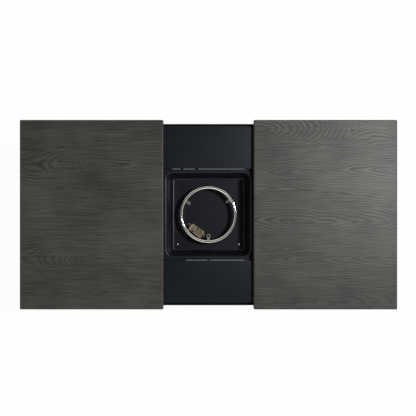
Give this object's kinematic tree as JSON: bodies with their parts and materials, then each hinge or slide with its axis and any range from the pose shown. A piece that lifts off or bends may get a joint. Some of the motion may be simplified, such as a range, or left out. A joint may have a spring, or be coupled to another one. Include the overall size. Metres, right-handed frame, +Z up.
{
  "type": "fire pit table",
  "caption": "Rectangular gas fire pit table with a sliding leaf top on roller tracks, a pressed burner tray with a ring burner, and a cabinet with recessed controls and a tank door.",
  "frame": {"origin": "on the floor under the middle of the table, leaves open", "axes": "+Z up, +X along the table towards the tank door, -Y towards the control side"},
  "size_m": [1.6122, 0.81, 0.62],
  "materials": {
    "wood_grain_steel": "printed and embossed dark grey wood grain, satin",
    "black_powder_coat": "fine-textured powder coat, satin",
    "stainless": "bright, heat-tinted round the burner",
    "zinc_steel": "zinc-plated, satin",
    "brass": "plain",
    "copper": "drawn copper",
    "nylon": "moulded, natural white",
    "black_plastic": "moulded, satin",
    "black_rubber": "smooth",
    "white_ceramic": "glazed"
  },
  "bodies": {
    "cabinet": {"air_mixer": "brass", "bottom_rails": "black_powder_coat", "burner_inlet": "stainless", "burner_ring": "stainless", "burner_tray": "black_powder_coat", "control_niche": "black_powder_coat", "corner_posts": "black_powder_coat", "electrode_ceramic": "white_ceramic", "electrode_wire": "stainless", "foot_glides": "black_plastic", "front_deck_plate": "black_powder_coat", "front_panel": "black_powder_coat", "front_track": "zinc_steel", "gas_elbow": "brass", "gas_pipe": "zinc_steel", "gas_valve": "brass", "hinge_fixed_leaves": "black_powder_coat", "hinge_pins": "zinc_steel", "hose_grommet": "black_rubber", "igniter_module": "black_plastic", "ignition_lead": "black_rubber", "ignition_shield": "stainless", "inlet_locknut": "brass", "left_end_panel": "black_powder_coat", "left_partition": "black_powder_coat", "magnet_catch": "black_plastic", "pan_screws": "stainless", "rear_deck_plate": "black_powder_coat", "rear_panel": "black_powder_coat", "rear_track": "zinc_steel", "right_partition": "black_powder_coat", "ring_brackets": "stainless", "tank_tray": "black_powder_coat", "thermocouple": "stainless", "thermocouple_capillary": "copper", "top_rails": "black_powder_coat", "track_end_plugs": "black_plastic", "tray_bearers": "black_powder_coat"},
    "right_leaf": {"right_leaf": "wood_grain_steel", "right_leaf_ribs": "zinc_steel", "right_carriages": "zinc_steel", "right_roller_axles": "zinc_steel"},
    "left_leaf": {"left_leaf": "wood_grain_steel", "left_leaf_ribs": "zinc_steel", "left_carriages": "zinc_steel", "left_roller_axles": "zinc_steel"},
    "right_inner_rollers": {"right_inner_rollers": "nylon"},
    "right_outer_rollers": {"right_outer_rollers": "nylon"},
    "left_inner_rollers": {"left_inner_rollers": "nylon"},
    "left_outer_rollers": {"left_outer_rollers": "nylon"},
    "valve_push_rod": {"push_rod": "stainless"},
    "control_knob": {"valve_stem": "stainless", "control_knob": "black_plastic"},
    "igniter_button": {"igniter_button": "black_plastic"},
    "tank_door": {"tank_door": "black_powder_coat", "hinge_door_leaves": "black_powder_coat", "door_pull": "stainless", "strike_plate": "zinc_steel"}
  },
  "joints": [
    {"name": "right_leaf_slide", "type": "slide", "parent": "cabinet", "child": "right_leaf", "axis": [-1, 0, 0], "range_m": [0, 0.1926]},
    {"name": "left_leaf_slide", "type": "slide", "parent": "cabinet", "child": "left_leaf", "axis": [1, 0, 0], "range_m": [0, 0.1926]},
    {"name": "right_inner_rollers_spin", "type": "hinge", "parent": "right_leaf", "child": "right_inner_rollers", "pos_m": [0.2431, 0, 0.5742], "axis": [0, -1, 0], "range_deg": [0, 1104]},
    {"name": "right_outer_rollers_spin", "type": "hinge", "parent": "right_leaf", "child": "right_outer_rollers", "pos_m": [0.5547, 0, 0.5742], "axis": [0, -1, 0], "range_deg": [0, 1104]},
    {"name": "left_inner_rollers_spin", "type": "hinge", "parent": "left_leaf", "child": "left_inner_rollers", "pos_m": [-0.2431, 0, 0.5742], "axis": [0, 1, 0], "range_deg": [0, 1104]},
    {"name": "left_outer_rollers_spin", "type": "hinge", "parent": "left_leaf", "child": "left_outer_rollers", "pos_m": [-0.5547, 0, 0.5742], "axis": [0, 1, 0], "range_deg": [0, 1104]},
    {"name": "valve_push", "type": "slide", "parent": "cabinet", "child": "valve_push_rod", "axis": [0, 1, 0], "range_m": [0, 0.004], "stiffness_N_per_m": 800},
    {"name": "knob_turn", "type": "hinge", "parent": "valve_push_rod", "child": "control_knob", "pos_m": [-0.062, -0.36, 0.44], "axis": [0, -1, 0], "range_deg": [0, 180]},
    {"name": "igniter_push", "type": "slide", "parent": "cabinet", "child": "igniter_button", "axis": [0, 1, 0], "range_m": [0, 0.006], "stiffness_N_per_m": 500},
    {"name": "tank_door_hinge", "type": "hinge", "parent": "cabinet", "child": "tank_door", "pos_m": [0.605, 0.3875, 0.3], "axis": [0, 0, 1], "range_deg": [0, 105]}
  ],
  "couplings": [
    {"joint": "right_inner_rollers_spin", "follows": "right_leaf_slide", "rad_per_m": 100},
    {"joint": "right_outer_rollers_spin", "follows": "right_leaf_slide", "rad_per_m": 100},
    {"joint": "left_inner_rollers_spin", "follows": "left_leaf_slide", "rad_per_m": 100},
    {"joint": "left_outer_rollers_spin", "follows": "left_leaf_slide", "rad_per_m": 100}
  ]
}
